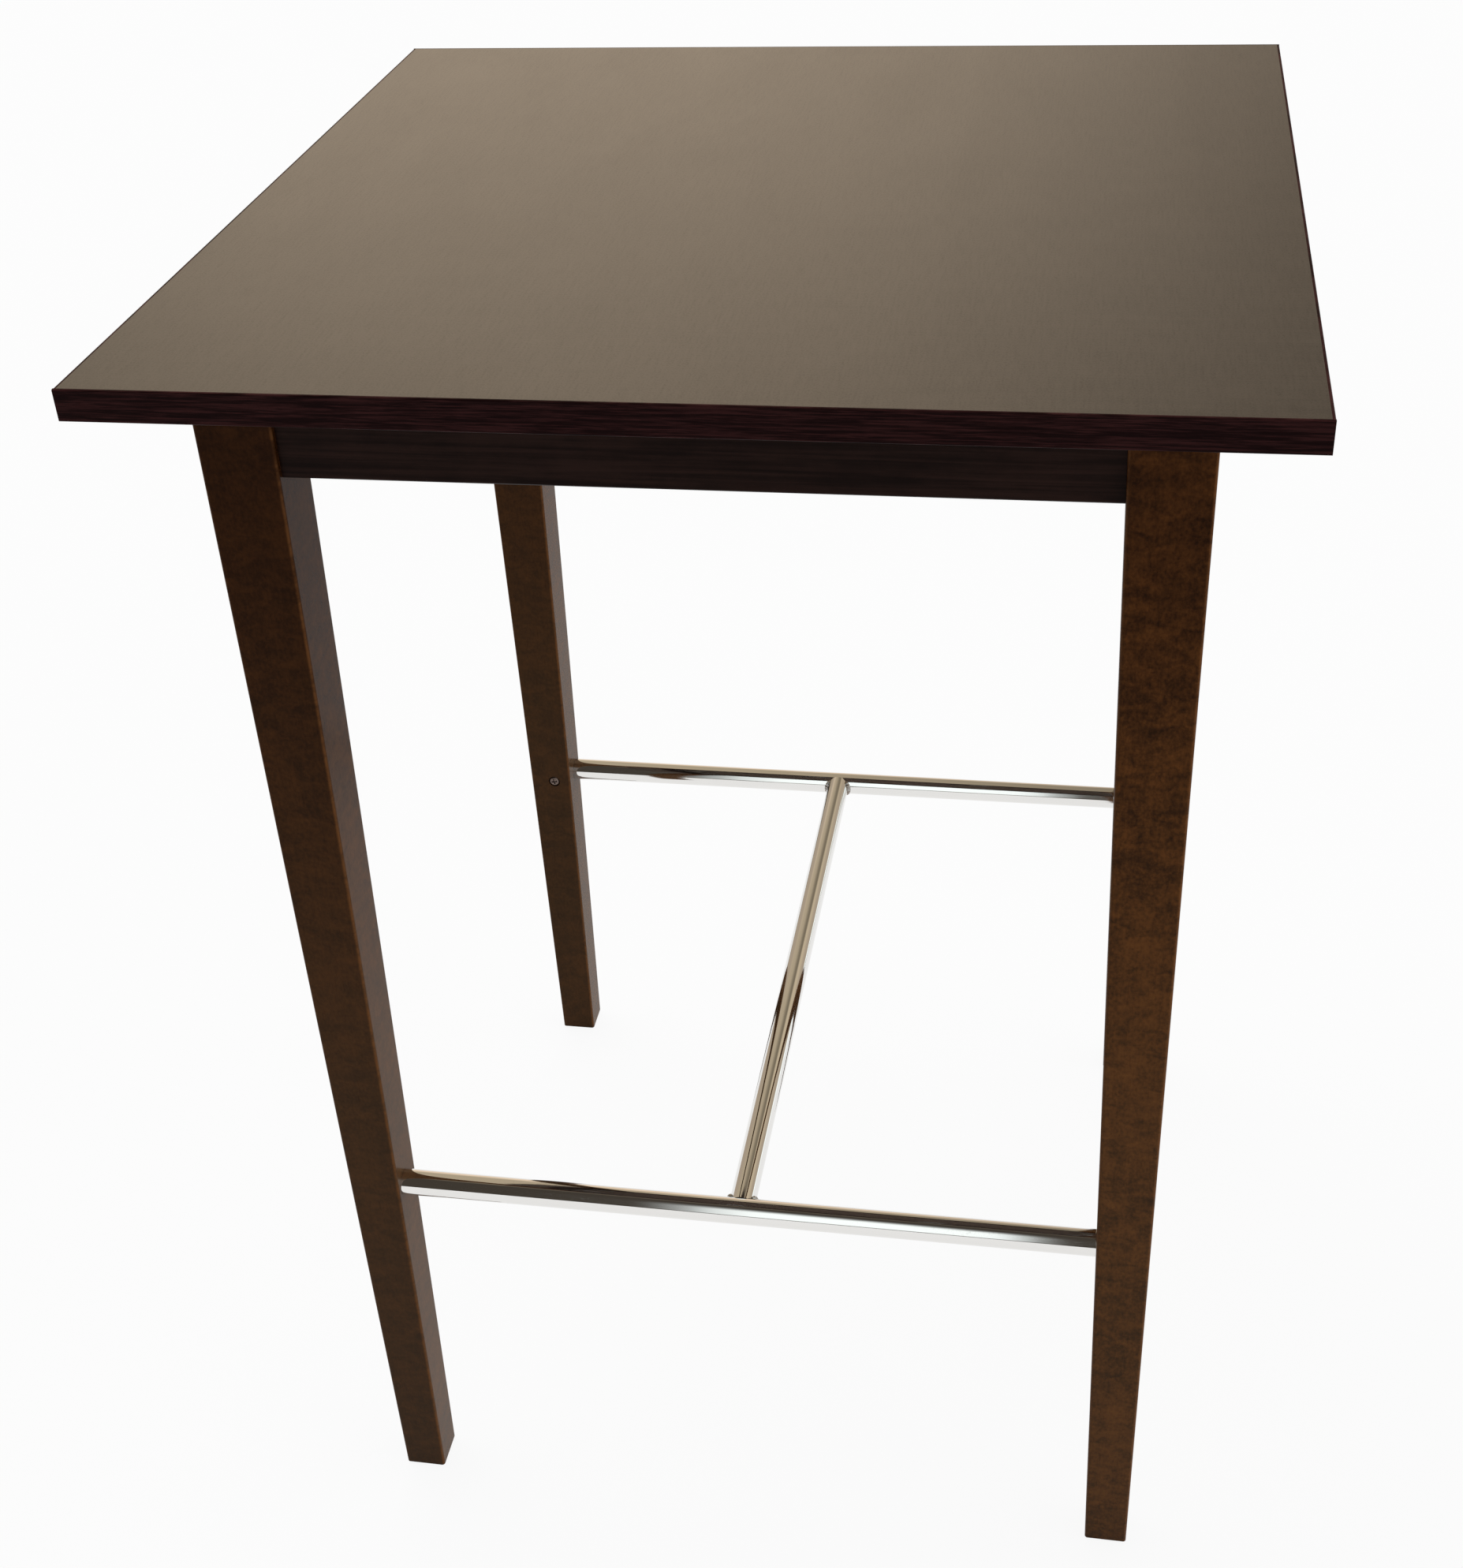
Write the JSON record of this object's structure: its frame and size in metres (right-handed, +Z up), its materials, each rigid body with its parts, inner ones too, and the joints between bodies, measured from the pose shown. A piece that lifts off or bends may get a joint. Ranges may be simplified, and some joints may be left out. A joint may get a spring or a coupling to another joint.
{
  "type": "pub table",
  "caption": "Square bar-height table with a dark laminate top on an apron frame, tapered wooden legs and an H-shaped chrome footrest.",
  "frame": {"origin": "on the floor, under the middle of the top", "axes": "+Z up; -Y towards the front, the side that faces the viewer; +X to the right of someone facing the front"},
  "size_m": [0.75, 0.75, 1.06],
  "materials": {
    "laminate": "satin dark laminate with a fine woven grain",
    "edge_band": "dark wood-grain edge band",
    "core_board": "raw particle board",
    "backing_sheet": "plain brown balancing sheet",
    "leg_stain": "dark brown stain under gloss lacquer",
    "apron_stain": "near-black brown stain, satin",
    "chrome": "bright chrome plate on steel tube",
    "bronzed_screw": "dark bronzed steel",
    "plated_steel": "zinc-plated steel",
    "glide_plastic": "dark brown nylon"
  },
  "bodies": {
    "root": {"apron_back": "apron_stain", "apron_front": "apron_stain", "apron_left": "apron_stain", "apron_right": "apron_stain", "corner_bracket_back_left": "plated_steel", "corner_bracket_back_right": "plated_steel", "corner_bracket_front_left": "plated_steel", "corner_bracket_front_right": "plated_steel", "edge_band_back": "edge_band", "edge_band_front": "edge_band", "edge_band_left": "edge_band", "edge_band_right": "edge_band", "foot_glide_back_left": "glide_plastic", "foot_glide_back_right": "glide_plastic", "foot_glide_front_left": "glide_plastic", "foot_glide_front_right": "glide_plastic", "footrest_back_bar": "chrome", "footrest_centre_bar": "chrome", "footrest_front_bar": "chrome", "footrest_lock_screws": "bronzed_screw", "footrest_welds": "chrome", "hanger_bolts": "plated_steel", "hanger_nuts": "plated_steel", "leg_back_left": "leg_stain", "leg_back_right": "leg_stain", "leg_front_left": "leg_stain", "leg_front_right": "leg_stain", "top_clips": "plated_steel", "top_core": "core_board", "top_laminate": "laminate", "underside_backing": "backing_sheet"}
  },
  "joints": []
}
